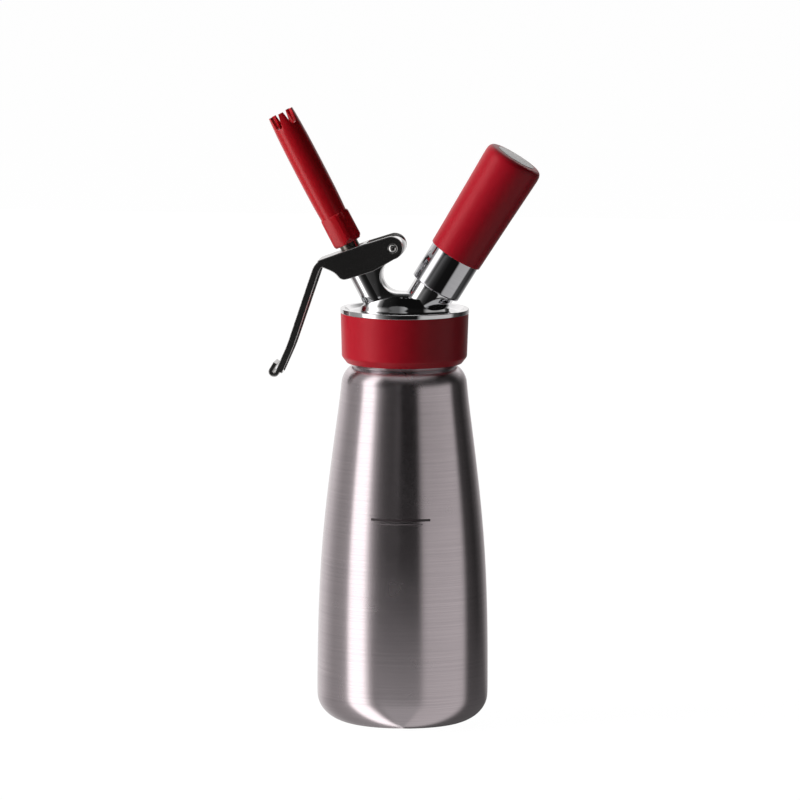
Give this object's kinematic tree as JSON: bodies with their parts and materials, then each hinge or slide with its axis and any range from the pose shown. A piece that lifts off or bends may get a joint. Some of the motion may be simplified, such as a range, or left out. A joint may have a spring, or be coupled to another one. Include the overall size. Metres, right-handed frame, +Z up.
{
  "type": "whipped cream dispenser",
  "caption": "Hand-held steel bottle with a screwed-on metal head, a sprung squeeze lever over a leaning valve with a notched decorator tip, and a screwed-on gas charger holder.",
  "frame": {"origin": "centre of the bottle's flat base", "axes": "+Z up along the bottle's axis, the valve and lever lean towards -X, the charger holder towards +X"},
  "size_m": [0.1297, 0.0816, 0.2945],
  "materials": {
    "bottle_steel": "brushed round the bottle",
    "head_chrome": "mirror polished casting",
    "lever_steel": "polished sheet",
    "small_steel": "turned",
    "charger_steel": "zinc plated",
    "holder_chrome": "polished",
    "red_silicone": "satin",
    "red_plastic": "gloss",
    "cap_plastic": "matt",
    "seal_rubber": "matt"
  },
  "bodies": {
    "bottle": {"bottle": "bottle_steel"},
    "gasket": {"head_gasket": "seal_rubber"},
    "head": {"head": "head_chrome", "collar_sleeve": "red_silicone", "lever_pin": "lever_steel", "piercing_insert": "small_steel", "piercing_pin": "small_steel", "check_valve": "seal_rubber", "charger_gasket": "seal_rubber", "valve_spring": "small_steel"},
    "lever": {"lever": "lever_steel"},
    "valve": {"valve_stem": "small_steel", "valve_seal": "seal_rubber", "stem_ring": "seal_rubber", "stem_nut": "small_steel"},
    "tip_seal": {"tip_seal_ring": "seal_rubber"},
    "tip": {"decorator_tip": "red_plastic"},
    "charger": {"gas_charger": "charger_steel"},
    "holder": {"holder_sleeve": "holder_chrome", "holder_grip": "red_silicone", "holder_cap": "cap_plastic"}
  },
  "joints": [
    {"name": "head_lift", "type": "slide", "parent": "bottle", "child": "gasket", "axis": [0, 0, 1], "range_m": [0, 0.0106]},
    {"name": "head_turn", "type": "hinge", "parent": "gasket", "child": "head", "pos_m": [0, 0, 0.19], "axis": [0, 0, 1], "range_deg": [0, 1080]},
    {"name": "lever_squeeze", "type": "hinge", "parent": "head", "child": "lever", "pos_m": [-0.005, 0, 0.2285], "axis": [0, -1, 0], "range_deg": [0, 10], "stiffness_Nm_per_rad": 1.2, "springref_deg": -20.05},
    {"name": "valve_press", "type": "slide", "parent": "head", "child": "valve", "axis": [0.4695, 0, -0.8829], "range_m": [0, 0.0029], "deforming": ["valve_spring"]},
    {"name": "tip_travel", "type": "slide", "parent": "valve", "child": "tip_seal", "axis": [-0.4695, 0, 0.8829], "range_m": [0, 0.0061]},
    {"name": "tip_turn", "type": "hinge", "parent": "tip_seal", "child": "tip", "pos_m": [0, 0, 0.1785], "axis": [-0.4695, 0, 0.8829], "range_deg": [0, 1080]},
    {"name": "charger_travel", "type": "slide", "parent": "head", "child": "charger", "axis": [0.521, 0, 0.8536], "range_m": [0, 0.0076]},
    {"name": "holder_turn", "type": "hinge", "parent": "charger", "child": "holder", "pos_m": [-0.0012, 0, 0.1833], "axis": [0.521, 0, 0.8536], "range_deg": [0, 1800]}
  ],
  "couplings": [
    {"joint": "head_lift", "follows": "head_turn", "m_per_rad": 0.00055704},
    {"joint": "valve_press", "follows": "lever_squeeze", "m_per_rad": 0.0162},
    {"joint": "tip_travel", "follows": "tip_turn", "m_per_rad": 0.00031831},
    {"joint": "charger_travel", "follows": "holder_turn", "m_per_rad": 0.00023873}
  ]
}
